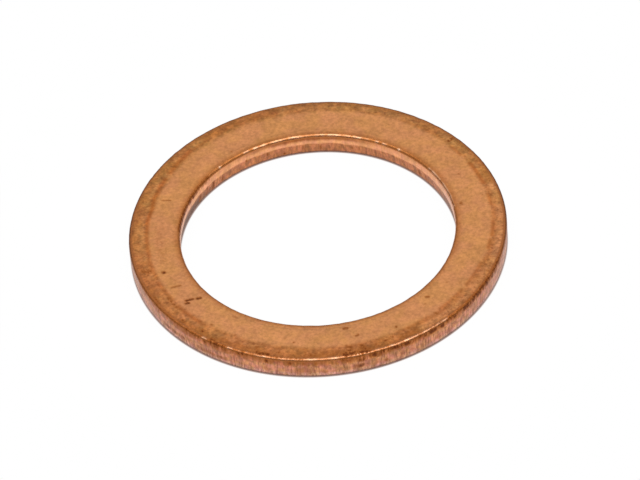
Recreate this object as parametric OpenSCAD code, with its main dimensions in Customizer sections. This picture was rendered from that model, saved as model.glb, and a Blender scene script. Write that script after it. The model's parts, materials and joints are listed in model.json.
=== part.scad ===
// Flat copper sealing ring for a threaded oil drain plug, stamped from sheet in one stroke.
// The origin is the centre of the hole on the lower sealing face, and +Z is the ring's axis.
// The rim and the hole are cut from the same side, so both have the section of a stamped edge:
// the upper face falls away and rolls over into the cut, a smooth sheared wall follows, and
// below it the metal is torn and leans away down to a tumbled lower edge.

/* [Ring] */
// Diameter of the hole at its smooth sheared wall, which the plug's thread passes through
bore_d = 16; // [8:0.1:40]
// Width of the ring, from the hole to the rim
ring_w = 3; // [2.4:0.1:6]
// Thickness of the sheet that the ring is stamped from
sheet_t = 1.45; // [1.1:0.05:3]

/* [Upper face] */
// Width of the outer band, where the upper face falls away towards the rim
rim_band_w = 1; // [0.6:0.05:1.2]
// Height of the slope that parts the level middle of the face from the outer band
rim_step_h = 0.01; // [0.005:0.005:0.05]
// Slope of the outer band where it meets the rolled edge, in degrees
rim_fall_a = 9; // [1:0.5:12]
// Width of the inner band, where the upper face falls away towards the hole
bore_band_w = 0.6; // [0.45:0.05:0.9]
// Height of the slope that parts the level middle of the face from the inner band
bore_step_h = 0.02; // [0.005:0.005:0.05]
// Slope of the inner band where it meets the rolled edge, in degrees
bore_fall_a = 12; // [1:0.5:20]
// Width of the slope beside each band
step_w = 0.2; // [0.1:0.05:0.25]

/* [Stamped rim] */
// Radius of the rolled edge between the upper face and the rim
rim_roll_r = 0.18; // [0.05:0.01:0.25]
// Height of the smooth sheared wall on the rim
rim_shear_h = 0.34; // [0.2:0.02:0.7]
// Distance that the torn metal leans inward from the smooth wall by the lower face
rim_tear_w = 0.06; // [0.01:0.01:0.12]

/* [Stamped hole] */
// Radius of the rolled edge between the upper face and the hole
bore_roll_r = 0.2; // [0.05:0.01:0.25]
// Height of the smooth sheared wall in the hole
bore_shear_h = 0.5; // [0.2:0.02:0.7]
// Distance that the torn metal leans outward from the smooth wall by the lower face
bore_tear_w = 0.09; // [0.01:0.01:0.12]

/* [Lower face] */
// Radius that tumbling has left on each lower edge
foot_r = 0.06; // [0.02:0.01:0.12]

/* [Hidden] */

$fn = 180;
foot_steps = 4;  // straight pieces along a tumbled lower edge
roll_steps = 7;  // straight pieces along a rolled edge
fall_steps = 5;  // straight pieces along the falling part of a band
step_steps = 6;  // straight pieces along the slope beside a band

bore_r = bore_d / 2;
rim_r = bore_r + ring_w;

// Points of an arc about a centre, from one angle to another.
function arc(centre, radius, from, to, steps) = [
    for (i = [0 : steps])
        let (a = from + (to - from) * i / steps)
            centre + radius * [cos(a), sin(a)]
];

// Points of one stamped edge, from the lower face up to the level middle of the upper face.
// Here x is the depth into the metal from the smooth wall, and y the height over the lower face.
function stamped_edge(band_w, step_h, fall_a, roll_r, shear_h, tear_w) =
    let (
        roll_w = roll_r * (1 - sin(fall_a)),
        fall_w = band_w - step_w - roll_w,
        fall_h = fall_w * tan(fall_a) / 2,
        roll_centre = [roll_r, sheet_t - step_h - fall_h - roll_r * cos(fall_a)]
    )
    concat(
        arc([tear_w + foot_r, foot_r], foot_r, 270, 180, foot_steps),
        [[0, roll_centre.y - shear_h]],
        arc(roll_centre, roll_r, 180, 90 + fall_a, roll_steps),
        [for (i = [1 : fall_steps])
            let (u = 1 - i / fall_steps)
                [band_w - step_w - fall_w * u, sheet_t - step_h - fall_h * u * u]],
        [for (i = [1 : step_steps])
            let (u = 1 - i / step_steps)
                [band_w - step_w * u, sheet_t - step_h * u * u * (3 - 2 * u)]]
    );

function backwards(points) = [for (i = [len(points) - 1 : -1 : 0]) points[i]];

// Section of the ring, with x measured from the axis and y up from the lower face.
module section() {
    rim_edge = stamped_edge(
        rim_band_w, rim_step_h, rim_fall_a, rim_roll_r, rim_shear_h, rim_tear_w);
    bore_edge = stamped_edge(
        bore_band_w, bore_step_h, bore_fall_a, bore_roll_r, bore_shear_h, bore_tear_w);
    polygon(concat(
        [for (p = rim_edge) [rim_r - p.x, p.y]],
        [for (p = backwards(bore_edge)) [bore_r + p.x, p.y]]
    ));
}

module sealing_ring() {
    color("#CF8D5F")
        rotate_extrude()
            section();
}

sealing_ring();
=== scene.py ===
"""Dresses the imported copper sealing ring: the stamped metal, its finish and a small studio."""

import json
import math
from typing import Callable, NamedTuple

import bpy
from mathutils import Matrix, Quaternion, Vector, kdtree


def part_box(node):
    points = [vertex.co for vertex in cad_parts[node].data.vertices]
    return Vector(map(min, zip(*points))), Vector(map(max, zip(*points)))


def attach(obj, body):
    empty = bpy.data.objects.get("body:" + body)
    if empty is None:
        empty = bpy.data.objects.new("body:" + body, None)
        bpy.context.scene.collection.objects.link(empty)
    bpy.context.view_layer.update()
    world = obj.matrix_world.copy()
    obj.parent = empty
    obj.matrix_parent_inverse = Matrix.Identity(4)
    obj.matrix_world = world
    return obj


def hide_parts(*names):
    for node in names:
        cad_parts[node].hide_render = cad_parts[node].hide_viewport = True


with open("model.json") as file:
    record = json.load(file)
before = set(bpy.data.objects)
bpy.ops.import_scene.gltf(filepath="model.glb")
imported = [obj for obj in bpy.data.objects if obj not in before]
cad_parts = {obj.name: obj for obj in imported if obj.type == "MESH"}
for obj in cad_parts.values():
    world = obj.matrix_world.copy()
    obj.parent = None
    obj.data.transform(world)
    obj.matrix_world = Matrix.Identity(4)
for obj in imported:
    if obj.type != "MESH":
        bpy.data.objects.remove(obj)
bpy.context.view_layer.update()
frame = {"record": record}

bl_info = {
    "name": "Copper Sealing Ring",
    "version": (1, 0, 0),
    "blender": (4, 5, 0),
    "location": "View3D > Sidebar > Sealing Ring",
    "description": "Models a stamped copper sealing ring for an oil drain plug, and its studio",
    "category": "Add Mesh",
}

NODE = "sealing_ring"
MM = 0.001
MICRON = 0.000001
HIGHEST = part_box(NODE)[1]
PLUG_HOLE = next(m for m in frame["record"]["mounts"] if m["name"] == "plug_hole")

# Straight pieces along each stretch of the section, and steps of its turn round the axis
FOOT_STEPS = 3
TORN_STEPS = 9
SHEAR_STEPS = 6
ROLL_STEPS = 8
FALL_STEPS = 9
STEP_STEPS = 5
LEVEL_STEPS = 22
UNDERSIDE_STEPS = 10
TURN_STEPS = 880
MERGE_GAP = 0.01 * MICRON

# Each kind of surface, as an attribute for the finish and a vertex group for the relief
KINDS = ("rolled", "sheared", "torn", "edge", "foot")


class Mark(NamedTuple):
    """A mark on the metal, with its lengths in millimetres and its angles in degrees."""

    angle: float  # way round the ring to its middle, counterclockwise from +X
    reach: float  # way outward from the hole on a face, or up from the lower face on a wall
    length: float
    width: float
    strength: float
    turn: float = 0  # turn from the way round the ring, positive outward or upward


# Scratches and pits in the upper face, which hold dirt, each row with the values of a mark
SCRATCHES = (
    (196.2, 1.47, 0.34, 0.3, 1.0, -80), (204.8, 1.3, 0.7, 0.2, 0.5, -78),
    (213.5, 1.27, 0.62, 0.19, 1.0, -70), (214.4, 1.53, 0.38, 0.23, 1.0, -60),
    (215.1, 0.77, 0.42, 0.25, 1.0, -66), (233, 0.6, 0.45, 0.18, 0.35, 3),
    (277.5, 0.65, 0.45, 0.26, 0.75, 2), (280.9, 1.4, 0.35, 0.22, 0.6, -25),
    (312.7, 0.85, 0.4, 0.26, 0.65, 40), (309, 2.2, 0.35, 0.18, 0.5, 60),
    (158.2, 1.3, 0.6, 0.11, 0.5, -105),
)

# Brown tarnish on the upper face, in blotches
TARNISH = (
    (182, 1.2, 4.0, 1.3, 0.15), (193.5, 2.35, 0.9, 0.45, 0.5, -60), (207, 2.78, 0.75, 0.2, 0.5),
    (211, 2.2, 1.1, 0.2, 0.5, 5), (219.7, 2.65, 0.45, 0.3, 0.6, 40), (227.7, 2.52, 0.35, 0.28, 0.7, 60),
    (232.5, 2.82, 0.45, 0.28, 0.85, 10), (247.2, 2.4, 0.5, 0.4, 0.5, 60), (240, 2.55, 2.4, 0.7, 0.2),
    (249.5, 2.78, 0.95, 0.38, 0.85), (257, 2.88, 1.9, 0.14, 0.5), (264.5, 2.6, 0.9, 0.5, 0.45),
    (270, 2.55, 3.0, 0.8, 0.3), (277, 2.5, 0.85, 0.5, 0.75, 90), (278.8, 2.78, 1.7, 0.5, 0.95),
    (281.5, 2.55, 0.9, 0.5, 0.7, 70), (290, 2.38, 0.75, 0.22, 0.55, -10), (297, 2.5, 1.6, 0.7, 0.3),
    (202, 2.95, 1.6, 0.25, 0.3), (210, 2.95, 1.2, 0.25, 0.35), (217, 2.95, 1.4, 0.25, 0.4),
    (225, 2.95, 1.2, 0.25, 0.5), (234.5, 2.93, 1.1, 0.25, 0.75), (313.5, 2.94, 1.2, 0.22, 0.5),
    (321, 2.94, 1.4, 0.22, 0.75), (329, 2.94, 1.2, 0.25, 0.8), (337, 2.94, 1.4, 0.25, 0.6),
    (346, 2.95, 1.6, 0.25, 0.2), (168, 0.05, 2.4, 0.26, 0.75), (155, 0.05, 2.4, 0.26, 0.7),
    (144, 0.07, 1.8, 0.22, 0.6), (42, 0.07, 1.4, 0.2, 0.3), (8, 0.5, 0.6, 0.3, 0.4),
    (39.3, 2.55, 0.6, 0.24, 0.8, 85),
)

# Orange-brown stretches of the line at the foot of the outer step
RING_LINE = (
    (346, 2.15, 1.0, 0.38, 0.7), (353.5, 2.2, 1.5, 0.38, 0.7), (7.5, 2.2, 1.2, 0.38, 0.7),
    (21, 2.2, 2.2, 0.46, 0.85), (34, 2.15, 1.2, 0.38, 0.6), (52, 2.2, 2.4, 0.42, 0.4),
    (113, 2.35, 5.2, 1.2, 0.5), (128, 2.22, 2.4, 0.46, 0.55), (139, 2.2, 2.6, 0.6, 0.85, -5),
    (153, 2.05, 2.0, 0.55, 0.9, -3), (160, 2.0, 1.2, 0.52, 0.9, -8), (167, 1.95, 1.8, 0.42, 0.95, 4),
    (173.5, 1.95, 1.2, 0.4, 0.8), (182, 1.94, 2.0, 0.4, 0.75), (193, 2.0, 2.0, 0.38, 0.6),
    (205, 2.05, 2.0, 0.42, 0.6), (219, 2.1, 2.2, 0.46, 0.7), (300, 2.15, 2.4, 0.46, 0.55),
    (317, 2.1, 2.2, 0.38, 0.6), (331, 2.1, 2.2, 0.38, 0.6),
)

# Stretches of the outer band that have stayed cleaner
CLEANER = (
    (312, 2.6, 4.2, 0.8, 0.9), (330, 2.6, 2.6, 0.8, 0.8), (345, 2.65, 3.4, 1.0, 1.0),
    (1, 2.6, 5.0, 0.8, 0.8), (36, 2.5, 3.0, 0.7, 0.4), (181, 2.6, 3.0, 0.6, 0.3),
    (212, 2.6, 2.4, 0.6, 0.4),
)

# Painted glints: bright dots painted on the rolled edge of the hole
PAINTED_GLINTS = (
    (50.8, 0, 0.06, 0.06, 1.0), (131.8, 0, 0.07, 0.07, 1.0),
)

# Small dark spots on the upper face, as way round, reach and strength
SPOT_WIDTH = 0.21
SPOTS = tuple(
    Mark(angle, reach, SPOT_WIDTH, SPOT_WIDTH, strength)
    for angle, reach, strength in (
        (10, 1.85, 0.3), (23.5, 1.2, 0.4), (23.5, 2.8, 0.5), (26, 2.9, 0.5), (122.8, 0.55, 0.4),
        (228.3, 1.85, 0.5), (228.5, 2.9, 0.7), (238, 1.9, 0.5), (254.5, 2.5, 0.55), (255, 1.3, 0.3),
        (258.5, 1.6, 0.5), (263, 1.0, 0.25), (276.3, 2.1, 0.5), (285.5, 2.5, 0.6), (294.7, 1.7, 0.9),
        (298, 2.15, 0.55), (309.5, 1.2, 0.35), (323, 1.0, 0.35), (325, 1.7, 0.3), (334, 2.7, 0.5),
        (337.5, 2.6, 0.5),
    )
)

# Dark smudges on the rim, as way round, height, length and strength
RIM_SMUDGE_WIDTH = 0.4
RIM_SMUDGES = tuple(
    Mark(angle, height, length, RIM_SMUDGE_WIDTH, strength)
    for angle, height, length, strength in (
        (217, 0.45, 2.2, 0.6), (232, 0.4, 2.4, 0.4), (279.5, 0.6, 0.9, 0.4), (247, 1.2, 3.0, 0.35),
        (262, 1.2, 3.0, 0.25), (279, 1.2, 2.2, 0.5), (286, 1.22, 1.6, 0.75), (295.5, 1.24, 2.6, 0.5),
        (306.5, 1.22, 2.2, 0.5), (318, 1.22, 2.2, 0.45), (330, 1.2, 2.0, 0.5), (200, 1.1, 1.6, 0.35),
        (208, 1.05, 1.6, 0.3), (222, 1.05, 2.0, 0.35), (236, 1.05, 1.2, 0.25), (230.3, 1.18, 0.45, 0.8),
        (237.5, 1.2, 0.3, 0.85), (243.5, 1.25, 0.9, 0.75), (251.5, 1.1, 0.6, 0.85),
        (258.3, 1.12, 0.4, 0.65), (262.5, 1.1, 0.4, 0.55), (266, 1.12, 0.4, 0.5), (276, 1.1, 0.5, 0.7),
        (280, 1.0, 0.6, 0.7), (279.6, 0.52, 0.25, 0.85), (284.5, 1.12, 0.9, 1.0),
        (287.7, 0.45, 0.2, 0.55), (291.7, 1.22, 0.8, 0.95), (295.7, 1.16, 0.9, 1.05),
        (301.5, 1.18, 0.5, 0.75), (304.5, 1.18, 0.8, 1.05), (307.7, 1.14, 0.6, 1.15),
        (313, 1.2, 0.5, 0.9), (319.5, 1.2, 1.2, 1.3), (324.8, 1.2, 0.6, 1.1), (330, 1.17, 0.4, 1.0),
        (333.5, 1.16, 0.4, 1.05), (340, 1.1, 1.8, 0.4), (350, 1.1, 1.6, 0.35),
    )
)

# Dark smudges on the hole's wall, as way round, height, length down the wall and strength
HOLE_SMUDGE_WIDTH = 0.22
HOLE_SMUDGES = tuple(
    Mark(angle, height, length, HOLE_SMUDGE_WIDTH, strength, turn=90)
    for angle, height, length, strength in (
        (49, 0.6, 0.3, 0.5), (70, 0.5, 0.35, 0.45), (72.5, 0.5, 0.3, 0.4), (86, 0.45, 0.4, 0.4),
        (93, 0.45, 0.5, 0.6), (101, 0.24, 0.25, 0.7), (108.5, 0.55, 0.3, 0.4), (118.5, 0.72, 0.25, 0.5),
        (131, 0.4, 0.5, 0.4), (136.5, 0.4, 0.7, 0.7), (141, 0.45, 0.7, 0.7), (146, 0.4, 0.7, 0.7),
        (40, 0.4, 0.6, 0.55), (36, 0.4, 0.6, 0.5),
    )
)

# Stretches of the rolled edges that are worn bright, with the softbox's highlight painted into them, as
# way round, length and strength
RIM_SHINE_AND_HIGHLIGHT = (
    (229.5, 0.4, 1.0), (239, 0.35, 0.9), (243.5, 0.6, 1.0), (251, 1.2, 1.0), (260.5, 2.0, 0.7),
    (266, 0.45, 0.5), (273, 0.9, 0.65), (273, 10.0, 0.4), (292, 7.0, 1.0), (278.5, 1.0, 1.0),
    (285, 0.8, 0.9), (290.5, 1.0, 1.0), (295.5, 1.0, 0.9), (300.5, 1.0, 1.0), (307, 1.2, 1.0),
)
HOLE_SHINE_AND_HIGHLIGHT = (
    (14, 2.0, 0.8), (26, 2.2, 0.8), (50.8, 0.3, 0.5), (58, 0.3, 0.8), (61.5, 0.25, 0.9), (72, 1.1, 0.8),
    (81.5, 1.3, 0.75), (87, 0.4, 0.6), (90, 7.0, 0.25), (95, 0.5, 0.75), (100.5, 1.3, 0.9),
    (105, 0.5, 0.8), (110, 0.5, 0.8), (113.5, 0.4, 0.8), (118, 0.4, 0.7), (131.8, 0.25, 0.5),
)
SHINE_WIDTH = 0.22


def shine_marks(stretches):
    """The marks of the bright stretches along a rolled edge."""
    return [Mark(angle, 0, length, SHINE_WIDTH, strength) for angle, length, strength in stretches]


def number(name, description, default, **settings):
    """A property that is a number, and a plain one without settings."""
    return bpy.props.FloatProperty(name=name, description=description, default=default, **settings)


def length(name, description, default):
    """A length property, with its default in metres."""
    return number(name, description, default, unit="LENGTH", precision=6)


def angle(name, description, degrees):
    """An angle property, with its default in degrees."""
    return number(name, description, math.radians(degrees), subtype="ANGLE")


def colour(name, description, default):
    """A colour property, in linear red, green and blue."""
    return bpy.props.FloatVectorProperty(
        name=name, description=description, default=default, size=3, subtype="COLOR", min=0, max=1
    )


class SealingRingSizes(bpy.types.PropertyGroup):
    """Sizes of the ring, as in its solid."""

    rim_radius: length("Rim radius", "Radius of the smooth wall on the rim", HIGHEST.x)
    bore_radius: length(
        "Hole radius", "Radius of the smooth wall in the hole", PLUG_HOLE["dims"]["r_mm"] * MM
    )
    thickness: length("Thickness", "Thickness of the sheet", HIGHEST.z)
    rim_band: length("Outer band", "Width of the band that falls towards the rim", 1.0 * MM)
    rim_step: length("Outer step", "Height of the slope inside the outer band", 0.01 * MM)
    rim_fall: angle("Outer fall", "Slope of the outer band at the rolled edge", 9)
    rim_roll: length("Rim's rolled edge", "Radius of the rolled edge of the rim", 0.18 * MM)
    rim_shear: length("Rim's smooth wall", "Height of the smooth wall on the rim", 0.34 * MM)
    rim_tear: length("Rim's tear", "Distance that the torn wall of the rim leans in", 0.06 * MM)
    bore_band: length("Inner band", "Width of the band that falls towards the hole", 0.6 * MM)
    bore_step: length("Inner step", "Height of the slope beside the inner band", 0.02 * MM)
    bore_fall: angle("Inner fall", "Slope of the inner band at the rolled edge", 12)
    bore_roll: length("Hole's rolled edge", "Radius of the rolled edge of the hole", 0.2 * MM)
    bore_shear: length("Hole's smooth wall", "Height of the smooth wall in the hole", 0.5 * MM)
    bore_tear: length("Hole's tear", "Distance that the torn wall of the hole leans", 0.09 * MM)
    step_width: length("Step width", "Width of the slope beside each band", 0.2 * MM)
    foot_radius: length("Tumbled edge", "Radius of each lower edge", 0.06 * MM)


class SealingRingRelief(bpy.types.PropertyGroup):
    """Heights of the unevenness of each surface."""

    sheet: length("Rolled sheet", "Depth of the waves in the rolled faces", 10 * MICRON)
    edge: length("Rolled edges", "Depth of the dents along the rolled edges", 32 * MICRON)
    streaks: length("Smooth walls", "Height of the streaks on the smooth walls", 9 * MICRON)
    torn: length("Torn walls", "Height of the tears on the torn walls", 26 * MICRON)
    wander: length("Tear line", "How far each tear line wanders up and down", 0.16 * MM)
    pits: length("Scratches", "Depth of the scratches and pits", 22 * MICRON)


class SealingRingFinish(bpy.types.PropertyGroup):
    """Colours of the copper, with painted highlights, glints and shade among them."""

    level: colour("Level face", "Rolled copper on the level middle", (0.602, 0.26, 0.099))
    band: colour("Bands", "Browned copper on the falling bands", (0.45, 0.172, 0.055))
    lip: colour("Lip", "Browner copper next to the rolled edges", (0.42, 0.142, 0.038))
    # Painted shade: the darkest line along the outer rolled edge, painted for the dark reflection there
    verge: colour("Verge", "Darkest copper, along the outer rolled edge", (0.21, 0.09, 0.045))
    ring_line: colour("Ring line", "Orange-brown line at the foot of the outer step", (0.4, 0.115, 0.024))
    hole_wall: colour("Hole's smooth wall", "Clean copper of the hole's smooth wall", (0.76, 0.342, 0.162))
    hole_torn: colour("Hole's torn wall", "Redder copper torn in the hole", (0.52, 0.201, 0.086))
    # Painted shade: darker copper painted low down on the hole's wall, towards its sides
    hole_low: colour("Hole's low part", "Darker copper low down in the hole", (0.13, 0.054, 0.026))
    rim_wall: colour("Rim's wall", "Pinker copper of the rim", (0.54, 0.232, 0.122))
    rim_low: colour("Rim's low part", "Pinker copper low down on the rim", (0.58, 0.31, 0.225))
    # Brown of stains and speckles, also painted as shade down the walls under the rolled edges
    stain: colour("Stain", "Brown stain that runs down from the rolled edges", (0.34, 0.108, 0.034))
    # Partly tarnish and partly painted dark reflection: the rolled edges are painted dark below their
    # highlight
    edge: colour("Rim's rolled edge", "Browned copper on the rim's rolled edge", (0.4, 0.137, 0.041))
    hole_edge: colour("Hole's rolled edge", "Copper on the hole's rolled edge", (0.43, 0.155, 0.045))
    # Partly wear and partly painted highlight: bright copper painted along the crests where the softbox is
    # reflected
    crest: colour("Worn crest", "Copper worn bright along the crest of each edge", (0.7, 0.38, 0.225))
    # Painted glint: the colour of the bright dots painted on the hole's rolled edge
    nick: colour("Nick", "Bare bright copper in the nicks", (0.95, 0.62, 0.4))
    halo: colour("Halo", "Orange-brown copper round dirt and tarnish", (0.33, 0.1, 0.02))
    tarnish: colour("Tarnish", "Brown tarnish in blotches", (0.15, 0.037, 0.01))
    dirt: colour("Dirt", "Dark dirt in pits and scratches", (0.12, 0.028, 0.01))
    # Partly dirt and partly painted shade: the lower edges are darkened where they meet the floor
    foot: colour("Foot", "Greyed copper along the lower edges", (0.13, 0.06, 0.046))


class SealingRingStudio(bpy.types.PropertyGroup):
    """Camera, lamps and floor."""

    elevation: angle("Camera elevation", "Angle of the camera above the ring's plane", 43.1)
    roll: angle("Camera roll", "Turn of the camera about its own axis", -4.69)
    distance: length("Camera distance", "Distance from the camera to the ring's centre", 1.1)
    lens: number("Lens", "Focal length on a sensor 36 mm wide", 1065.5, unit="CAMERA")
    aside: length("Camera aside", "Move of the camera to its right", 0.095 * MM)
    below: length("Camera below", "Move of the camera down its picture", 0.133 * MM)
    softbox_height: length("Softbox height", "Height of the softbox over the ring", 0.5)
    softbox_width: length("Softbox width", "Width of the softbox, from side to side", 0.78)
    softbox_depth: length("Softbox depth", "Depth of the softbox, from front to back", 0.48)
    softbox_front: length("Softbox front", "How far the softbox hangs towards the camera", 0.19)
    softbox_aside: length("Softbox aside", "How far the softbox hangs to the right", 0.02)
    softbox_radiance: number("Softbox radiance", "Brightness of its face, 1 is white", 2.4)
    back_light: number("Back light", "Brightness of the room beyond the ring", 1.06)
    camera_light: number("Camera side", "Brightness of the room round the camera", 0.62)
    horizon_light: number("Horizon", "Share of the light left at the near horizon", 0.4)
    far_horizon_light: number("Far horizon", "Share of the light left at the far horizon", 0.12)
    zenith_light: number("Zenith", "Share of the light that is left overhead", 0.55)
    floor_light: number("Floor light", "Brightness of the floor in reflections", 1.0)
    far_floor_light: number("Far floor", "Brightness of the floor beyond the ring", 0.15)
    shadow_share: number("Shadow", "Share of the ring's shadow on the floor", 0.03)
    contact_share: number("Contact", "Share of the shadow right at the ring's foot", 0.9)
    # Painted shadow: the floor's colour right at the ring's foot
    contact: colour("Contact", "Floor right at the ring's foot, in its shadow", (0.4, 0.22, 0.16))
    mirrored_share: number("Mirrored shadow", "Share of the shadow in the reflections", 0.4)


def mix(a, b, share):
    """The value that lies at a share of the way from a to b."""
    return a + (b - a) * share


class StampedEdge(NamedTuple):
    """Sizes of one stamped edge of the ring."""

    band: float
    step: float
    fall: float
    roll: float
    shear: float
    tear: float


def arc(centre, radius, start, stop, steps):
    """Points of an arc as (depth, height), after its first point. Its angles are in radians."""
    angles = [mix(start, stop, i / steps) for i in range(1, steps + 1)]
    return [(centre[0] + radius * math.cos(a), centre[1] + radius * math.sin(a)) for a in angles]


def line(start, stop, steps):
    """Evenly spaced points of a straight line, after its first point."""
    shares = [i / steps for i in range(1, steps + 1)]
    return [(mix(start[0], stop[0], s), mix(start[1], stop[1], s)) for s in shares]


def stamped_section(sizes, edge):
    """Stretches of one stamped edge, from the lower face up to the level middle of the upper one.

    Each stretch is its kind and its points as (depth into the metal, height over the lower face).
    """
    roll_width = edge.roll * (1 - math.sin(edge.fall))
    fall_width = edge.band - sizes.step_width - roll_width
    fall_height = fall_width * math.tan(edge.fall) / 2
    fall_top = sizes.thickness - edge.step
    roll_centre = (edge.roll, fall_top - fall_height - edge.roll * math.cos(edge.fall))
    foot = (edge.tear + sizes.foot_radius, 0.0)
    foot_centre = (foot[0], sizes.foot_radius)
    foot_top = (edge.tear, sizes.foot_radius)
    tear_line = (0.0, roll_centre[1] - edge.shear)
    wall_top = (0.0, roll_centre[1])
    step_start = edge.band - sizes.step_width
    falling = [1 - i / FALL_STEPS for i in range(1, FALL_STEPS + 1)]
    stepping = [1 - i / STEP_STEPS for i in range(1, STEP_STEPS + 1)]
    fall = [(step_start - fall_width * u, fall_top - fall_height * u * u) for u in falling]
    step = [
        (edge.band - sizes.step_width * u, sizes.thickness - edge.step * u * u * (3 - 2 * u))
        for u in stepping
    ]
    return [
        ("foot", [foot] + arc(foot_centre, sizes.foot_radius, 1.5 * math.pi, math.pi, FOOT_STEPS)),
        ("torn", line(foot_top, tear_line, TORN_STEPS)),
        ("sheared", line(tear_line, wall_top, SHEAR_STEPS)),
        ("edge", arc(roll_centre, edge.roll, math.pi, math.pi / 2 + edge.fall, ROLL_STEPS)),
        ("rolled", fall + step),
    ]


class SectionPoint(NamedTuple):
    """A point of the ring's section, in the XZ plane."""

    x: float
    z: float
    kind: str
    wander: float = 0.0  # how far it moves up and down with the tear line, from 0 to 1
    crest: float = 0.0  # how near it is to the crest of a rolled edge, from 0 to 1


# Where the crest lies on each rolled edge, as a share of the way up it, and how far it spreads
RIM_CREST = 0.72
HOLE_CREST = 0.6
CREST_SPREAD = 0.42


def edge_points(sizes, side, crest_place, x_of_depth):
    """The points of one side's edge, which move less with the tear line the further they are from it."""
    points = []
    edge = StampedEdge(*(getattr(sizes, f"{side}_{name}") for name in StampedEdge._fields))
    for kind, places in stamped_section(sizes, edge):
        for number, (depth, z) in enumerate(places, start=1):
            along = number / len(places)
            wander = {"torn": along, "sheared": 1 - along}.get(kind, 0.0)
            crest = max(1 - abs(along - crest_place) / CREST_SPREAD, 0) if kind == "edge" else 0.0
            points.append(SectionPoint(x_of_depth(depth), z, kind, wander, crest))
    return points


def ring_section(sizes):
    """The ring's whole section, up the rim, across the upper face, down the hole and back underneath."""
    up_rim = edge_points(sizes, "rim", RIM_CREST, lambda depth: sizes.rim_radius - depth)
    up_bore = edge_points(sizes, "bore", HOLE_CREST, lambda depth: sizes.bore_radius + depth)
    level = line(up_rim[-1][:2], up_bore[-1][:2], LEVEL_STEPS)[:-1]
    underside = line(up_bore[0][:2], up_rim[0][:2], UNDERSIDE_STEPS)[:-1]
    return (
        up_rim
        + [SectionPoint(x, z, "rolled") for x, z in level]
        + up_bore[::-1]
        + [SectionPoint(x, z, "rolled") for x, z in underside]
    )


def draw_section(section):
    """Draws the section by extruding a single vertex from point to point, and closes it."""
    bpy.ops.object.select_all(action="DESELECT")
    bpy.ops.mesh.primitive_plane_add(size=MICRON)
    ring = bpy.context.object
    ring.name = "copper_ring"
    ring.data.name = "copper_ring"
    bpy.ops.object.mode_set(mode="EDIT")
    bpy.ops.mesh.select_all(action="SELECT")
    bpy.ops.mesh.merge(type="CENTER")
    bpy.ops.transform.translate(value=(section[0].x, 0, section[0].z))
    for here, there in zip(section, section[1:]):
        stride = (there.x - here.x, 0, there.z - here.z)
        bpy.ops.mesh.extrude_region_move(TRANSFORM_OT_translate={"value": stride})
    bpy.ops.mesh.select_all(action="SELECT")
    bpy.ops.mesh.edge_face_add()
    bpy.ops.mesh.delete(type="ONLY_FACE")
    bpy.ops.object.mode_set(mode="OBJECT")
    return ring


def group_vertices(ring, name, shares):
    """Puts the vertices into a vertex group, each by its share, for the relief."""
    group = ring.vertex_groups.new(name=name)
    for index, share in enumerate(shares):
        if share > 0:
            group.add([index], share, "REPLACE")


def store_shares(ring, name, shares):
    """Keeps a share for each vertex in an attribute, for the finish."""
    attribute = ring.data.attributes.new(name, "FLOAT", "POINT")
    attribute.data.foreach_set("value", shares)


def spread_kinds(ring, section):
    """Notes each section vertex's kind, which the turn round the axis carries along."""
    for kind in KINDS:
        shares = [1.0 if point.kind == kind else 0.0 for point in section]
        store_shares(ring, kind, shares)
        group_vertices(ring, kind, shares)
    store_shares(ring, "crest", [point.crest for point in section])
    group_vertices(ring, "wander", [point.wander for point in section])


def turn_section(ring):
    """Turns the section once round the axis and closes the skin."""
    screw = ring.modifiers.new("Turn", "SCREW")
    screw.axis = "Z"
    screw.angle = 2 * math.pi
    screw.steps = TURN_STEPS
    screw.render_steps = TURN_STEPS
    screw.use_merge_vertices = True
    screw.merge_threshold = MERGE_GAP
    bpy.ops.object.modifier_apply(modifier=screw.name)
    bpy.ops.object.mode_set(mode="EDIT")
    bpy.ops.mesh.select_all(action="SELECT")
    bpy.ops.mesh.remove_doubles(threshold=MERGE_GAP)
    bpy.ops.mesh.normals_make_consistent(inside=False)
    bpy.ops.object.mode_set(mode="OBJECT")
    bpy.ops.object.shade_smooth()


def press_relief(ring, group, height, grain, stretch=1, middle=0.5, direction="NORMAL"):
    """Presses a cloud pattern into one group of vertices.

    The grain is the size of the pattern, and the stretch draws it out along the ring's axis. The
    middle is the value of the pattern, from 0 to 1, that leaves the surface where it is.
    """
    texture = bpy.data.textures.new(group, "CLOUDS")
    texture.noise_scale = grain
    texture.noise_depth = 2
    guide = bpy.data.objects.new(group, None)
    bpy.context.collection.objects.link(guide)
    guide.scale = (1, 1, stretch)
    bpy.context.view_layer.update()
    displace = ring.modifiers.new(group, "DISPLACE")
    displace.texture = texture
    displace.texture_coords = "OBJECT"
    displace.texture_coords_object = guide
    displace.vertex_group = group
    displace.direction = direction
    displace.mid_level = middle
    displace.strength = height
    bpy.ops.object.modifier_apply(modifier=displace.name)
    bpy.data.objects.remove(guide)
    bpy.data.textures.remove(texture)


def press_marks(ring, group, depth):
    """Presses one group of vertices straight into the metal."""
    displace = ring.modifiers.new(group, "DISPLACE")
    displace.vertex_group = group
    displace.mid_level = 0
    displace.strength = -depth
    bpy.ops.object.modifier_apply(modifier=displace.name)


def polar(distance, way_round, height=0.0):
    """A point at a distance from the ring's axis."""
    return Vector((distance * math.cos(way_round), distance * math.sin(way_round), height))


class Canvas(NamedTuple):
    """A surface that marks are painted on, with its vertices moved to where the marks are placed."""

    tree: kdtree.KDTree
    place: Callable  # the point of a way round the ring and a reach
    radius: float  # the middle radius, which turns lengths into ways round


def canvas(ring, chosen, flattened, place, radius):
    """The canvas of the vertices that are chosen, each moved to its flattened place."""
    picked = [v for v in ring.data.vertices if chosen(v.co)]
    tree = kdtree.KDTree(len(picked))
    for v in picked:
        tree.insert(flattened(v.co), v.index)
    tree.balance()
    return Canvas(tree, place, radius)


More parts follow.
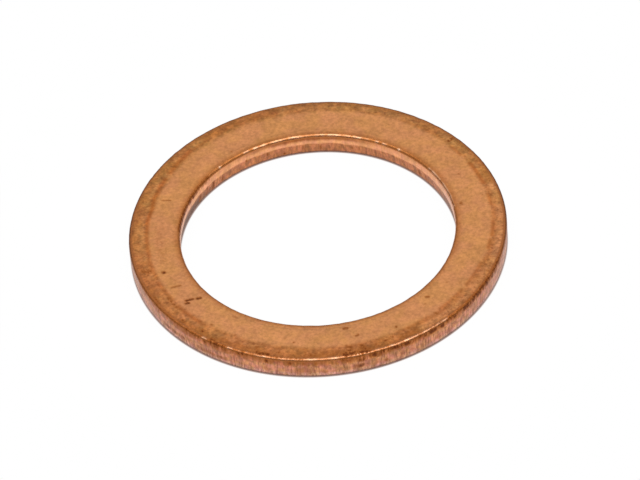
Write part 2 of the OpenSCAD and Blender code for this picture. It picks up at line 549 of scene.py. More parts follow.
def face_canvas(ring, sizes):
    """The upper face, laid flat, with its reaches measured outward from the hole."""
    return canvas(
        ring,
        lambda co: co.z > sizes.thickness - sizes.rim_roll - sizes.bore_roll,
        lambda co: Vector((co.x, co.y, 0)),
        lambda way_round, reach: polar(sizes.bore_radius + reach, way_round),
        (sizes.bore_radius + sizes.rim_radius) / 2,
    )


def round_canvas(ring, radius, depth, floor=-math.inf, upright=1):
    """What lies less than a depth from a wall and above a floor, with its reaches measured upward.

    An upright of 0 lays it on one circle, so that a mark covers the whole of a rolled edge.
    """
    return canvas(
        ring,
        lambda co: co.z > floor and abs(co.xy.length - radius) < depth,
        lambda co: polar(radius, math.atan2(co.y, co.x), co.z * upright),
        lambda way_round, reach: polar(radius, way_round, reach),
        radius,
    )


# Spacing of the points that a mark is drawn with, as a share of its width, and the millimetres
# that let a mark thinner than the mesh still meet some of its vertices
MARK_SPACING = 0.3
MARK_REACH = 0.05


def paint_marks(shares, board, rows):
    """Raises the shares of the vertices that the marks cover, fading out at the marks' borders."""
    for mark in (Mark(*row) for row in rows):
        steps = max(1, math.ceil(mark.length / (mark.width * MARK_SPACING)))
        turn = math.radians(mark.turn)
        for number in range(steps + 1):
            along = (number / steps - 0.5) * max(mark.length - mark.width, 0) * MM
            way_round = math.radians(mark.angle) + along * math.cos(turn) / board.radius
            point = board.place(way_round, mark.reach * MM + along * math.sin(turn))
            radius = (mark.width / 2 + MARK_REACH) * MM
            for _, index, distance in board.tree.find_range(point, radius):
                nearness = 1 - distance / radius
                share = mark.strength * nearness * nearness * (3 - 2 * nearness)
                shares[index] = max(shares[index], share)


def add_marks(ring, sizes):
    """Paints the marks into attributes, and the scratches into a group that is pressed in."""
    lean = sizes.rim_tear + sizes.bore_tear + sizes.foot_radius
    roll_floor = sizes.thickness - 2 * sizes.bore_roll
    face = face_canvas(ring, sizes)
    rim = round_canvas(ring, sizes.rim_radius, lean)
    hole = round_canvas(ring, sizes.bore_radius, lean)
    rim_edge = round_canvas(ring, sizes.rim_radius, sizes.rim_roll, roll_floor, upright=0)
    hole_edge = round_canvas(ring, sizes.bore_radius, sizes.bore_roll, roll_floor, upright=0)
    painting = {
        "pits": ((face, SCRATCHES),),
        "dirt": ((face, SCRATCHES + SPOTS),),
        "tarnish": ((face, TARNISH), (rim, RIM_SMUDGES), (hole, HOLE_SMUDGES)),
        "line": ((face, RING_LINE),),
        "cleaner": ((face, CLEANER),),
        "shine": ((rim_edge, shine_marks(RIM_SHINE_AND_HIGHLIGHT)), (hole_edge, shine_marks(HOLE_SHINE_AND_HIGHLIGHT))),
        "nicks": ((hole_edge, PAINTED_GLINTS),),
    }
    for name, layers in painting.items():
        shares = [0.0] * len(ring.data.vertices)
        for board, rows in layers:
            paint_marks(shares, board, rows)
        keep = group_vertices if name == "pits" else store_shares
        keep(ring, name, shares)


def shape_surface(ring, relief):
    """Gives each kind of surface its own unevenness."""
    press_relief(ring, "wander", relief.wander, 0.7 * MM, stretch=1000, direction="Z")
    press_relief(ring, "rolled", relief.sheet, 1.6 * MM, middle=1)
    press_relief(ring, "edge", relief.edge, 0.45 * MM, middle=0.7)
    press_relief(ring, "foot", relief.edge, 0.3 * MM, middle=1)
    press_relief(ring, "sheared", relief.streaks, 0.3 * MM, stretch=15, middle=0.7)
    press_relief(ring, "torn", relief.torn, 0.25 * MM, stretch=2.5, middle=0.8)
    press_marks(ring, "pits", relief.pits)


def is_socket(value):
    """Whether a value is a socket to link, and not a plain value."""
    return isinstance(value, bpy.types.NodeSocket)


def put(kind, inputs=None, tree=None, **settings):
    """Adds a node with its settings and its inputs, each a plain value or a socket to link.

    It goes into the tree of its sockets, or into a given tree if it has none.
    """
    inputs = inputs or {}
    tree = tree or next(value.id_data for value in inputs.values() if is_socket(value))
    node = tree.nodes.new(kind)
    for name, value in settings.items():
        setattr(node, name, value)
    for key, value in inputs.items():
        if is_socket(value):
            tree.links.new(value, node.inputs[key])
        else:
            node.inputs[key].default_value = value
    return node


def math_node(operation, first, second=0.0, clamp=False):
    """The result of a Math node."""
    inputs = {0: first, 1: second}
    return put("ShaderNodeMath", inputs, operation=operation, use_clamp=clamp).outputs[0]


def product(first, *others):
    """The product of masks and shares."""
    for other in others:
        first = math_node("MULTIPLY", first, other)
    return first


def added(first, second, clamp=False):
    """The sum of two values."""
    return math_node("ADD", first, second, clamp)


def less(first, second):
    """The first value less the second."""
    return math_node("SUBTRACT", first, second)


def either(first, second):
    """The greater of two masks."""
    return math_node("MAXIMUM", first, second)


class Fade(NamedTuple):
    """The span that a value goes over, and the results at both ends of the span."""

    low: float
    high: float
    at_low: float = 0.0
    at_high: float = 1.0

    def of(self, size):
        """The same fade with its span as shares of a size."""
        return self._replace(low=self.low * size, high=self.high * size)


def faded(value, fade):
    """A value that goes smoothly from one result of a fade to the other."""
    inputs = dict(zip(("Value", "From Min", "From Max", "To Min", "To Max"), (value, *fade)))
    return put("ShaderNodeMapRange", inputs, interpolation_type="SMOOTHSTEP").outputs[0]


def around(middle, softness):
    """The fade from 0 to 1 over a soft border."""
    return Fade(less(middle, softness), added(middle, softness))


def parts(vector):
    """The X, Y and Z of a place."""
    return put("ShaderNodeSeparateXYZ", {0: vector}).outputs


def vector_node(operation, *vectors):
    """The outputs of a Vector Math node."""
    return put("ShaderNodeVectorMath", dict(enumerate(vectors)), operation=operation).outputs


def flattened(vector):
    """A place moved straight down into the ring's lower plane."""
    return vector_node("MULTIPLY", vector, (1, 1, 0))[0]


def distance_from_axis(vector):
    """How far a place lies from the ring's axis."""
    return vector_node("LENGTH", flattened(vector))["Value"]


def mapped(vector, **settings):
    """Coordinates moved to a Location, or drawn out where their Scale is small."""
    return put("ShaderNodeMapping", {"Vector": vector, **settings}).outputs[0]


def opaque(value):
    """A plain colour with its alpha, or a socket as it is."""
    return value if is_socket(value) else (*value, 1.0)


def mix_colours(share, first, second, blend="MIX"):
    """A colour between two colours, which are sockets or plain values."""
    inputs = {0: share, 6: opaque(first), 7: opaque(second)}
    return put("ShaderNodeMix", inputs, data_type="RGBA", blend_type=blend).outputs[2]


def shaded(colour, shade, share=1.0):
    """A colour multiplied by a shade or a tint, or by a share of it."""
    return mix_colours(share, colour, shade, blend="MULTIPLY")


def layered(colour, *layers):
    """A colour with layers over it, each a share and a colour."""
    for share, layer in layers:
        colour = mix_colours(share, colour, layer)
    return colour


def mix_values(share, first, second):
    """A value between two values."""
    return put("ShaderNodeMix", {0: share, 2: first, 3: second}, data_type="FLOAT").outputs[0]


def mix_shaders(share, first, second):
    """A shader between two shaders."""
    return put("ShaderNodeMixShader", {0: share, 1: first, 2: second}).outputs[0]


def object_place(tree):
    """Coordinates of the object that a material is on."""
    return put("ShaderNodeTexCoord", tree=tree).outputs["Object"]


def start_material(name):
    """A material and its empty node tree."""
    material = bpy.data.materials.new(name)
    material.use_nodes = True
    material.node_tree.nodes.clear()
    return material, material.node_tree


def sized_noise(vector, size, detail=3.0, roughness=0.6):
    """Noise whose size is a socket of its group."""
    scale = math_node("DIVIDE", 1, size)
    inputs = {"Vector": vector, "Scale": scale, "Detail": detail, "Roughness": roughness}
    return put("ShaderNodeTexNoise", inputs).outputs["Fac"]


# Middle of the noise, and fades over most of what it gives
NOISE_MIDDLE = 0.5
TINT_FADE = Fade(0.35, 0.65)
HAZE_SPAN = (0.3, 0.7)


def wandering(vector, size, reach):
    """An offset that wanders up and down about 0."""
    return product(less(sized_noise(vector, size), NOISE_MIDDLE), reach)


# How rolling lines are drawn out along X, where the haze of a tint is taken from, and how
# softly speckles end
LINE_SCALE = (0.06, 1, 1)
HAZE_OFFSET = (0.3, 0.2, 0.1)
SPECKLE_SOFTNESS = 0.12

# Tints that multiply the copper where it has oxidised a little one way or the other
PINK_TINT = (1.03, 0.95, 1.12)
YELLOW_TINT = (0.99, 1.03, 0.8)


def rolled_sheet(place, grain, blotch, line):
    """Fine grain, soft blotches and straight rolling lines of rolled sheet."""
    return {
        "Grain": sized_noise(place, grain),
        "Blotches": sized_noise(place, blotch),
        "Lines": sized_noise(mapped(place, Scale=LINE_SCALE), line),
    }


def drawn_grain(place, size, draw):
    """Grain that a cut draws down the ring's walls, the more so the smaller the draw."""
    scale = put("ShaderNodeCombineXYZ", {0: 1, 1: 1, 2: draw}).outputs[0]
    return {"Grain": sized_noise(mapped(place, Scale=scale), size)}


def worn_border(place, radius, softness, wander, wave):
    """A border round the axis that wanders in and out, as 0 inside it and 1 outside."""
    distance = added(distance_from_axis(place), wandering(place, wave, wander))
    return {"Outside": faded(distance, around(radius, softness))}


def comb_stain(place, height, softness, teeth, spacing):
    """A stain that runs down a wall from its top to a height, in teeth of uneven length."""
    noise = sized_noise(flattened(place), spacing, detail=4, roughness=0.75)
    drop = product(less(noise, NOISE_MIDDLE), teeth)
    return {"Stain": faded(added(parts(place)["Z"], drop), around(height, softness))}


def ragged_patch(place, patch, grain, depth):
    """Breaks a painted patch up, so that it is ragged at its border and uneven inside."""
    lift = added(wandering(place, grain, depth), 1)
    return {"Cover": math_node("MULTIPLY", patch, lift, clamp=True)}


def uneven_tint(place, size, low, high):
    """A tint that wanders between pinker and yellower copper, and a shade that wanders apart."""
    share = faded(sized_noise(place, size, detail=2), TINT_FADE)
    moved = vector_node("ADD", place, HAZE_OFFSET)[0]
    haze = sized_noise(moved, size, detail=4, roughness=0.65)
    return {
        "Tint": mix_colours(share, PINK_TINT, YELLOW_TINT),
        "Shade": faded(haze, Fade(*HAZE_SPAN, low, high)),
    }


def speckle(place, size, level):
    """Small spots, the fewer the nearer the level is to 1."""
    grain = sized_noise(place, size, detail=1)
    return {"Cover": faded(grain, Fade(level, added(level, SPECKLE_SOFTNESS)))}


# What makes each node group, and the names of its inputs after the place on the ring
NODE_GROUPS = {
    "Rolled Sheet": (rolled_sheet, "Grain", "Blotch", "Line"),
    "Drawn Grain": (drawn_grain, "Size", "Draw"),
    "Worn Border": (worn_border, "Radius", "Softness", "Wander", "Wave"),
    "Comb Stain": (comb_stain, "Height", "Softness", "Teeth", "Spacing"),
    "Ragged Patch": (ragged_patch, "Patch", "Grain", "Depth"),
    "Uneven Tint": (uneven_tint, "Size", "Low", "High"),
    "Speckle": (speckle, "Size", "Level"),
}

# Kinds of the groups' sockets that aren't plain values
SOCKET_KINDS = {"Vector": "NodeSocketVector", "Tint": "NodeSocketColor"}


def add_sockets(group, names, direction):
    """Adds the sockets of one side of a node group."""
    for name in names:
        kind = SOCKET_KINDS.get(name, "NodeSocketFloat")
        group.interface.new_socket(name, in_out=direction, socket_type=kind)


def node_group(name):
    """The shader node group of a name, which is made when it is first asked for."""
    if name not in bpy.data.node_groups:
        make, *inputs = NODE_GROUPS[name]
        group = bpy.data.node_groups.new(name, "ShaderNodeTree")
        add_sockets(group, ("Vector", *inputs), "INPUT")
        given = put("NodeGroupInput", tree=group).outputs
        results = make(given["Vector"], *(given[key] for key in inputs))
        add_sockets(group, results, "OUTPUT")
        put("NodeGroupOutput", results)
    return bpy.data.node_groups[name]


def use_group(name, place, *values):
    """The outputs of a node group at a place, with its other inputs in order."""
    inputs = dict(enumerate((place, *values)))
    return put("ShaderNodeGroup", inputs, node_tree=node_group(name)).outputs


# Worn borders, each as a share of its band, and its softness, wander and wave in millimetres
OUTER_BORDER = (0.97, 0.2, 0.35, 1.6)
LINE_BORDER = (0.74, 0.16, 0.4, 1.1)
LIP_BORDER = (0.4, 0.26, 0.6, 0.8)
# The verge's border bounds the painted shade along the outer rolled edge
VERGE_SHADE_BORDER = (0.19, 0.07, 0.12, 0.4)
HAZE_BORDER = (0.7, 0.35, 2.0, 0.9)
INNER_BORDER = (0.5, 0.25, 0.3, 0.9)

# Stains with painted shade under the rolled edges, each as a share of the thickness, and its softness,
# teeth and spacing in millimetres
RIM_STAIN_AND_SHADE = (0.62, 0.16, 1.2, 0.2)
HOLE_STAIN_AND_SHADE = (0.71, 0.13, 0.35, 0.8)

# Uneven tints, each as a size in millimetres, the darkest and the lightest shade, and a depth
FACE_TINT = (1.4, 0.94, 1.06, 0.4)
RIM_TINT = (0.4, 0.8, 1.22, 1.0)
HOLE_TINT = (0.4, 0.84, 1.16, 0.5)


def share_and_lengths(start, whole, values):
    """A place at a share of a whole from its start, and lengths turned from millimetres to metres."""
    share, *lengths = values
    return start + share * whole, *(value * MM for value in lengths)


def beyond(place, edge, band, border):
    """Where a place lies outside a border, with the band measured outward from its edge."""
    return use_group("Worn Border", place, *share_and_lengths(edge, band, border))["Outside"]


def stained(place, thickness, stain):
    """The share of a stain that runs down a wall."""
    return use_group("Comb Stain", place, *share_and_lengths(0, thickness, stain))["Stain"]


def tinted(colour, place, tint):
    """A colour with an uneven tint and an uneven shade over it."""
    size, darkest, lightest, depth = tint
    uneven = use_group("Uneven Tint", place, size * MM, darkest, lightest)
    return shaded(shaded(colour, uneven["Tint"], depth), uneven["Shade"])


# Sizes of the sheet's grain, blotches and rolling lines
SHEET_SIZES = (0.17 * MM, 0.5 * MM, 0.2 * MM)

# Size and draw of the grain on the smooth walls, on the torn ones and along the rolled edges
STREAKS = (0.16 * MM, 0.07)
TEARS = (0.12 * MM, 0.15)
DENTS = (0.2 * MM, 1)

# Size and depth of the ragged borders of each kind of mark, which are drawn out up and down
TARNISH_RAGS = (0.16 * MM, 5)
DIRT_RAGS = (0.12 * MM, 2)
SHINE_RAGS = (0.2 * MM, 2)
CREST_RAGS = (0.3 * MM, 5.5)
UPRIGHT_SCALE = (1, 1, 0.25)

# Size and level of the speckles
FEW_SPECKLES = (0.3 * MM, 0.66)
MANY_SPECKLES = (0.24 * MM, 0.55)

# How far the worn middle of the face lies off the ring's axis, as the pressing was a little off it
WORN_OFFSET = (-0.14 * MM, 0.02 * MM, 0)

# Painted reflection: a tint that multiplies the outer band's copper beyond the hole, on the side away from
# the camera
FAR_REFLECTION_TINT = (1.0, 1.12, 1.05)

# Shades that the grain and the blotches give the level middle of the face and its outer band
LEVEL_GRAIN = Fade(0.3, 0.7, 0.86, 1.14)
BAND_GRAIN = Fade(0.3, 0.7, 0.8, 1.2)
LEVEL_BLOTCHES = Fade(0.3, 0.7, 0.95, 1.05)
BAND_BLOTCHES = Fade(0.3, 0.7, 0.76, 1.2)

# Shades that the tears, the blotches and the streaks give the walls
HOLE_TEARS = Fade(0.33, 0.67, 0.76, 1.2)
HOLE_BLOTCHES = Fade(0.35, 0.65, 0.84, 1.14)
RIM_TEARS = Fade(0.33, 0.67, 0.8, 1.22)
HOLE_STREAKS = Fade(0.33, 0.67, 0.9, 1.1)
RIM_STREAKS = Fade(0.33, 0.67, 0.7, 1.28)

# Brown on the rim, in its tears and blotches, and its pink low part over shares of the thickness
BROWN_STREAKS = Fade(0.34, 0.5, 0.65, 0)
BROWN_BLOTCHES = Fade(0.45, 0.65, 0, 0.6)
RIM_LOW = Fade(0.15, 0.3, 0.9, 0)

# Over shares of the hole's radius: the painted reflection on the far band, and where the painted stain and
# shade thins or the painted shade darkens to each side
FAR_BAND = Fade(-0.2, 0.7)
STAIN_AND_SHADE_ASIDE = Fade(0.1, 0.75, 1, 0.15)
SHADE_ASIDE = Fade(0.78, 0.97, 0.05, 0.9)
SHADE_MIDDLE = 0.06

# Painted shade on the low part of the hole's wall, over shares of the thickness
HOLE_LOW_SHADE = Fade(0.3, 0.65, 1, 0)

# Halo and core of a mark, over its strength
MARK_HALO = Fade(0, 0.6, 0, 0.85)
MARK_CORE = Fade(0.4, 1.15)

# Share of each layer of colour where it lies thickest, and of the coat on the torn rim
THICKEST = {
    "band": 0.5,
    "haze": 0.7,
    "lip": 0.6,
    "verge": 0.85,
    "step": 0.3,
    "inner band": 0.8,
    "few speckles": 0.2,
    "many speckles": 0.5,
    "rim stain": 0.75,
    "rolled edge": 0.9,
    "foot": 0.8,
    "coat": 0.25,
}
ROUGHNESS = {
    "face": 0.34, "sheared": 0.3, "torn": 0.48, "edge": 0.42, "worn edge": 0.2, "dirt": 0.6, "coat": 0.35
}

# Heights of the fine relief that only the light shows
GRAIN_HEIGHT = 2 * MICRON
LINE_HEIGHT = 0.8 * MICRON
HOLE_STREAK_HEIGHT = 1.5 * MICRON
RIM_STREAK_HEIGHT = 6 * MICRON
TEAR_HEIGHT = 7 * MICRON
DENT_HEIGHT = 15 * MICRON


def face_copper(place, sheet, painted, sizes, finish):
    """Rolled copper that is browner on the bands, with a ring line and speckles on the outer one."""
    worn = mapped(place, Location=WORN_OFFSET)
    rim = (sizes.rim_radius, -sizes.rim_band)
    outer = beyond(worn, *rim, OUTER_BORDER)
    within_line = less(1, beyond(worn, *rim, LINE_BORDER))
    lip = beyond(place, *rim, LIP_BORDER)
    verge = beyond(place, *rim, VERGE_SHADE_BORDER)
    haze = beyond(place, *rim, HAZE_BORDER)
    inner_band = less(1, beyond(place, sizes.bore_radius, sizes.bore_band, INNER_BORDER))
    line = either(product(outer, within_line, THICKEST["step"]), painted("line"))
    browned = product(outer, less(1, painted("cleaner")))
    few = product(use_group("Speckle", place, *FEW_SPECKLES)["Cover"], THICKEST["few speckles"])
    many = product(use_group("Speckle", place, *MANY_SPECKLES)["Cover"], THICKEST["many speckles"])

    colour = layered(
        finish.level,
        (product(browned, THICKEST["band"]), finish.band),
        (product(haze, browned, THICKEST["haze"]), finish.lip),
        (product(lip, browned, THICKEST["lip"]), finish.lip),
    )
    # Painted reflection: the outer band is tinted on its far side
    far = faded(parts(place)["Y"], FAR_BAND.of(sizes.bore_radius))
    colour = layered(
        shaded(colour, FAR_REFLECTION_TINT, product(far, outer)),
        # Painted shade along the outer rolled edge
        (product(verge, THICKEST["verge"]), finish.verge),
        (line, finish.ring_line),
        (product(inner_band, THICKEST["inner band"]), finish.lip),
        (mix_values(outer, few, many), finish.stain),
    )
    grain = mix_values(outer, faded(sheet["Grain"], LEVEL_GRAIN), faded(sheet["Grain"], BAND_GRAIN))
    blotches = sheet["Blotches"]
    blotches = mix_values(outer, faded(blotches, LEVEL_BLOTCHES), faded(blotches, BAND_BLOTCHES))
    return shaded(tinted(colour, place, FACE_TINT), product(grain, blotches))


def rim_copper(place, tears, blotches, sizes, finish):
    """The rim's pinkish wall, with a brown stain and painted shade in teeth under its rolled edge, and
    brown streaks.
    """
    stain = product(stained(place, sizes.thickness, RIM_STAIN_AND_SHADE), THICKEST["rim stain"])
    brown = either(either(stain, faded(tears, BROWN_STREAKS)), faded(blotches, BROWN_BLOTCHES))
    low = faded(parts(place)["Z"], RIM_LOW.of(sizes.thickness))
    colour = layered(finish.rim_wall, (low, finish.rim_low), (brown, finish.stain))
    return tinted(colour, place, RIM_TINT)


def hole_copper(place, torn, sizes, finish):
    """The hole's smooth wall, browner under its rolled edge with a stain and painted shade, its redder
    torn wall, and painted shade low down towards its sides.
    """
    split = parts(place)
    radius = sizes.bore_radius
    # Stain and painted shade under the hole's rolled edge, thinner towards its sides
    clear = faded(math_node("ABSOLUTE", split["X"]), STAIN_AND_SHADE_ASIDE.of(radius))
    stain = product(stained(place, sizes.thickness, HOLE_STAIN_AND_SHADE), clear)
    # Painted shade low on the hole's wall, darkest towards its sides
    aside = math_node("ABSOLUTE", less(split["X"], SHADE_MIDDLE * radius))
    low = product(faded(split["Z"], HOLE_LOW_SHADE.of(sizes.thickness)), faded(aside, SHADE_ASIDE.of(radius)))
    layers = ((stain, finish.stain), (torn, finish.hole_torn), (low, finish.hole_low))
    return tinted(layered(finish.hole_wall, *layers), place, HOLE_TINT)


def browned_mark(copper, mark, halo, core):
    """Copper under a mark, which is orange-brown where the mark is thin and dark where it is thick."""
    return layered(copper, (faded(mark, MARK_HALO), halo), (faded(mark, MARK_CORE), core))


def copper_material(sizes, finish):
    """Stamped copper, with its rolled faces, cut walls, worn edges, tarnish and dirt, and with painted
    highlights, glints and shade.
    """
    material, tree = start_material("stamped_copper")
    place = object_place(tree)
    upright = mapped(place, Scale=UPRIGHT_SCALE)

    def painted(name):
        return put("ShaderNodeAttribute", tree=tree, attribute_name=name).outputs["Fac"]

    def ragged(name, rags):
        return use_group("Ragged Patch", upright, painted(name), *rags)["Cover"]

    def drawn(grain):
        return use_group("Drawn Grain", place, *grain)["Grain"]

    sheet = use_group("Rolled Sheet", place, *SHEET_SIZES)
    streaks = drawn(STREAKS)
    tears = drawn(TEARS)
    dents = drawn(DENTS)
    sheared = painted("sheared")
    edge = painted("edge")
    foot = painted("foot")
    torn = added(painted("torn"), foot, clamp=True)
    wall = added(sheared, torn, clamp=True)
    tarnish = ragged("tarnish", TARNISH_RAGS)
    dirt = ragged("dirt", DIRT_RAGS)
    shine = ragged("shine", SHINE_RAGS)
    crest = ragged("crest", CREST_RAGS)
    middle = (sizes.bore_radius + sizes.rim_radius) / 2
    on_rim = math_node("GREATER_THAN", distance_from_axis(place), middle)

    hole_tears = product(faded(tears, HOLE_TEARS), faded(sheet["Blotches"], HOLE_BLOTCHES))
    torn_shade = mix_values(on_rim, hole_tears, faded(tears, RIM_TEARS))
    sheared_shade = mix_values(on_rim, faded(streaks, HOLE_STREAKS), faded(streaks, RIM_STREAKS))
    rim = rim_copper(place, tears, sheet["Blotches"], sizes, finish)
    hole = hole_copper(place, torn, sizes, finish)
    walls = shaded(mix_colours(on_rim, hole, rim), mix_values(sheared, torn_shade, sheared_shade))
    copper = layered(
        face_copper(place, sheet, painted, sizes, finish),
        (wall, walls),
        # Tarnish with painted dark reflection on the rolled edges
        (product(edge, THICKEST["rolled edge"]), mix_colours(on_rim, finish.hole_edge, finish.edge)),
        # Wear with a painted highlight along the crests
        (product(crest, shine), finish.crest),
        # Painted glints on the hole's rolled edge
        (product(crest, painted("nicks")), finish.nick),
        # Dirt with painted shade along the lower edges
        (product(foot, THICKEST["foot"]), finish.foot),
    )
    copper = browned_mark(copper, tarnish, finish.halo, finish.tarnish)
    copper = browned_mark(copper, dirt, finish.halo, finish.dirt)

    roughness = mix_values(sheared, ROUGHNESS["face"], ROUGHNESS["sheared"])
    roughness = mix_values(torn, roughness, ROUGHNESS["torn"])
    edge_roughness = mix_values(shine, ROUGHNESS["edge"], ROUGHNESS["worn edge"])
    roughness = mix_values(edge, roughness, edge_roughness)
    roughness = mix_values(either(tarnish, dirt), roughness, ROUGHNESS["dirt"])

    face_height = added(product(sheet["Grain"], GRAIN_HEIGHT), product(sheet["Lines"], LINE_HEIGHT))
    streak_height = product(streaks, mix_values(on_rim, HOLE_STREAK_HEIGHT, RIM_STREAK_HEIGHT))
    wall_height = mix_values(sheared, product(tears, TEAR_HEIGHT), streak_height)
    height = mix_values(wall, face_height, wall_height)
    height = mix_values(edge, height, product(dents, DENT_HEIGHT))
    bump = put("ShaderNodeBump", {"Strength": 1.0, "Distance": 1.0, "Height": height})

    looks = {
        "Base Color": copper,
        "Metallic": 1.0,
        "Roughness": roughness,
        "Normal": bump.outputs["Normal"],
        "Coat Weight": product(torn, on_rim, THICKEST["coat"]),
        "Coat Roughness": ROUGHNESS["coat"],
    }
    shader = put("ShaderNodeBsdfPrincipled", looks)
    put("ShaderNodeOutputMaterial", {"Surface": shader.outputs[0]})
    return material


class SEALINGRING_OT_ring(bpy.types.Operator):
    """Models the stamped sealing ring and gives it its copper finish"""

    bl_idname = "sealing_ring.ring"
    bl_label = "Sealing Ring"

    def execute(self, context):
        sizes = context.scene.sealing_ring_sizes
        section = ring_section(sizes)
        ring = draw_section(section)
        spread_kinds(ring, section)
        turn_section(ring)
        add_marks(ring, sizes)
        shape_surface(ring, context.scene.sealing_ring_relief)
        ring.data.materials.append(copper_material(sizes, context.scene.sealing_ring_finish))
        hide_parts(NODE)
        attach(ring, "root")
        return {"FINISHED"}


WHITE = (1, 1, 1, 1)
MATT_WHITE = (0.95, 0.95, 0.95)
FLOOR_RADIUS = 0.6
FLOOR_CORNERS = 64
FLOOR_GAP = 10 * MICRON

# Reach of the ring's shadow on the floor, and of its darkest part right at the ring's foot, where a shadow
# colour is also painted
SHADOW_REACH = 0.02
CONTACT_REACH = 0.09 * MM

# Span along Y over which the floor beyond the ring gets darker in reflections
FAR_FLOOR = (-2 * MM, 5 * MM)


def glow(kind, strength, tree=None):
    """White light of a strength, from a surface or from the room."""
    return put(kind, {"Color": WHITE, "Strength": strength}, tree=tree).outputs[0]


def is_camera_ray(tree):
    """Whether it is the camera that sees a surface, and not a reflection or another surface."""
    return put("ShaderNodeLightPath", tree=tree).outputs["Is Camera Ray"]


def floor_material(studio, sizes):
    """A white floor that shows a share of the ring's shadow, with a shadow painted right at the ring's
    foot, and that can be seen through from below.
    """
    material, tree = start_material("white_floor")
    place = object_place(tree)
    distance = distance_from_axis(place)
    outside_rim = less(distance, sizes.rim_radius - sizes.rim_tear)
    inside_hole = less(sizes.bore_radius + sizes.bore_tear, distance)
    gap = either(outside_rim, inside_hole)
    touching = faded(gap, Fade(0, CONTACT_REACH, studio.contact_share, studio.shadow_share))
    near = faded(distance, Fade(SHADOW_REACH / 2, SHADOW_REACH, 1, 0))
    camera_ray = is_camera_ray(tree)
    share = product(near, mix_values(camera_ray, studio.mirrored_share, touching))
    away = faded(parts(place)["Y"], Fade(*FAR_FLOOR))
    away = product(math_node("GREATER_THAN", distance, sizes.rim_radius), away)
    mirrored = glow("ShaderNodeEmission", mix_values(away, studio.floor_light, studio.far_floor_light))
    bright = mix_shaders(camera_ray, mirrored, glow("ShaderNodeEmission", 1.0, tree))
    # Painted shadow: the floor's colour darkens right at the ring's foot
    colour = mix_colours(faded(gap, Fade(0, CONTACT_REACH)), studio.contact, MATT_WHITE)
    matt = put("ShaderNodeBsdfDiffuse", {"Color": colour}).outputs[0]
    clear = put("ShaderNodeBsdfTransparent", tree=tree).outputs[0]
    from_below = put("ShaderNodeNewGeometry", tree=tree).outputs["Backfacing"]
    surface = mix_shaders(product(from_below, camera_ray), mix_shaders(share, bright, matt), clear)
    put("ShaderNodeOutputMaterial", {"Surface": surface})
    return material


def lay_floor(studio, sizes):
    """A round white floor just under the ring."""
    bpy.ops.object.select_all(action="DESELECT")
    bpy.ops.mesh.primitive_circle_add(
        vertices=FLOOR_CORNERS, radius=FLOOR_RADIUS, fill_type="NGON", location=(0, 0, -FLOOR_GAP)
    )
    floor = bpy.context.object
    floor.name = "floor"
    floor.data.materials.append(floor_material(studio, sizes))


def hang_softbox(studio):
    """A softbox overhead, whose reflection is the bright line along the rolled edges."""
    place = (studio.softbox_aside, -studio.softbox_front, studio.softbox_height)
    bpy.ops.object.light_add(type="AREA", location=place)
    lamp = bpy.context.object
    lamp.name = "softbox"
    lamp.data.shape = "RECTANGLE"
    lamp.data.size = studio.softbox_width
    lamp.data.size_y = studio.softbox_depth
    area = studio.softbox_width * studio.softbox_depth
    lamp.data.energy = studio.softbox_radiance * math.pi * area
    lamp.visible_camera = False


# Where the room's light changes: from the camera's side to beyond, over the horizon and overhead
SIDE_SPAN = (-0.35, 0.35)
HORIZON_SPAN = (0.1, 0.6)
ZENITH_SPAN = (0.75, 0.92)


def light_room(studio):
    """A white room that is brightest beyond the ring, halfway up, and darker round the camera."""
    world = bpy.data.worlds.new("studio")
    bpy.context.scene.world = world
    world.use_nodes = True
    tree = world.node_tree
    tree.nodes.clear()
    split = parts(put("ShaderNodeTexCoord", tree=tree).outputs["Generated"])
    room = faded(split["Y"], Fade(*SIDE_SPAN, studio.camera_light, studio.back_light))
    dusk = faded(split["Y"], Fade(*SIDE_SPAN, studio.horizon_light, studio.far_horizon_light))
    horizon = faded(split["Z"], Fade(*HORIZON_SPAN, dusk, 1))
    zenith = faded(split["Z"], Fade(*ZENITH_SPAN, 1, studio.zenith_light))
    lit = glow("ShaderNodeBackground", product(room, product(horizon, zenith)))
    surface = mix_shaders(is_camera_ray(tree), lit, glow("ShaderNodeBackground", 1.0, tree))
    put("ShaderNodeOutputWorld", {"Surface": surface})


SENSOR_WIDTH = 36
CLIP_FACTOR = 10


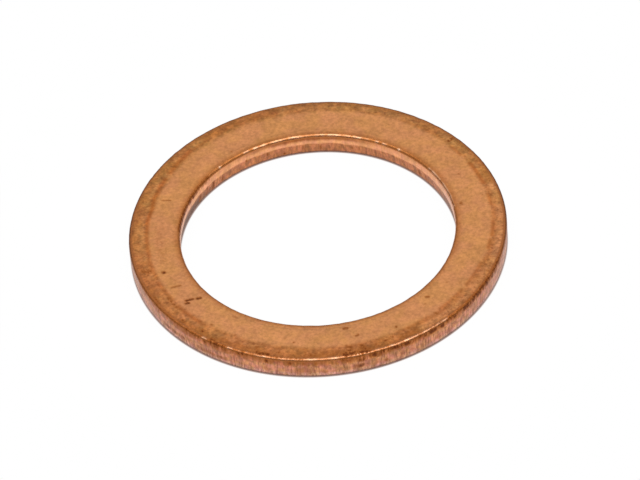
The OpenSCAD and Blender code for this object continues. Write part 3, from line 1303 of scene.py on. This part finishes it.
def stand_camera(studio, sizes):
    """A camera far off with a long lens, at the photograph's angle and framing."""
    target = Vector((0, 0, sizes.thickness / 2))
    back = Vector((0, -math.cos(studio.elevation), math.sin(studio.elevation)))
    turn = (-back).to_track_quat("-Z", "Y") @ Quaternion((0, 0, 1), studio.roll)
    offset = turn @ Vector((studio.aside, -studio.below, 0))
    bpy.ops.object.camera_add(location=target + back * studio.distance + offset)
    camera = bpy.context.object
    camera.name = "camera"
    camera.rotation_euler = turn.to_euler()
    camera.data.sensor_width = SENSOR_WIDTH
    camera.data.lens = studio.lens
    camera.data.clip_start = studio.distance / CLIP_FACTOR
    camera.data.clip_end = studio.distance * CLIP_FACTOR
    bpy.context.scene.camera = camera


class SEALINGRING_OT_stage(bpy.types.Operator):
    """Lays the floor, hangs the softbox, lights the room and stands the camera"""

    bl_idname = "sealing_ring.stage"
    bl_label = "Stage"

    def execute(self, context):
        studio = context.scene.sealing_ring_studio
        sizes = context.scene.sealing_ring_sizes
        lay_floor(studio, sizes)
        hang_softbox(studio)
        light_room(studio)
        stand_camera(studio, sizes)
        context.scene.view_settings.view_transform = "Standard"
        return {"FINISHED"}


class SEALINGRING_PT_sidebar(bpy.types.Panel):
    """Lists the ring's sizes and colours, and the buttons that make it"""

    bl_idname = "SEALINGRING_PT_sidebar"
    bl_label = "Sealing Ring"
    bl_space_type = "VIEW_3D"
    bl_region_type = "UI"
    bl_category = "Sealing Ring"

    def draw(self, context):
        for name in PROPERTY_GROUPS:
            box = self.layout.box()
            settings = getattr(context.scene, name)
            for key in settings.__annotations__:
                box.prop(settings, key)
        self.layout.operator(SEALINGRING_OT_ring.bl_idname)
        self.layout.operator(SEALINGRING_OT_stage.bl_idname)


PROPERTY_GROUPS = {
    "sealing_ring_sizes": SealingRingSizes,
    "sealing_ring_relief": SealingRingRelief,
    "sealing_ring_finish": SealingRingFinish,
    "sealing_ring_studio": SealingRingStudio,
}
CLASSES = (*PROPERTY_GROUPS.values(), SEALINGRING_OT_ring, SEALINGRING_OT_stage, SEALINGRING_PT_sidebar)


def register():
    for kind in CLASSES:
        bpy.utils.register_class(kind)
    for name, kind in PROPERTY_GROUPS.items():
        setattr(bpy.types.Scene, name, bpy.props.PointerProperty(type=kind))


def unregister():
    for name in PROPERTY_GROUPS:
        delattr(bpy.types.Scene, name)
    for kind in reversed(CLASSES):
        bpy.utils.unregister_class(kind)


def main():
    """Makes the ring and its stage."""
    register()
    bpy.ops.sealing_ring.ring()
    bpy.ops.sealing_ring.stage()


if __name__ == "__main__":
    main()
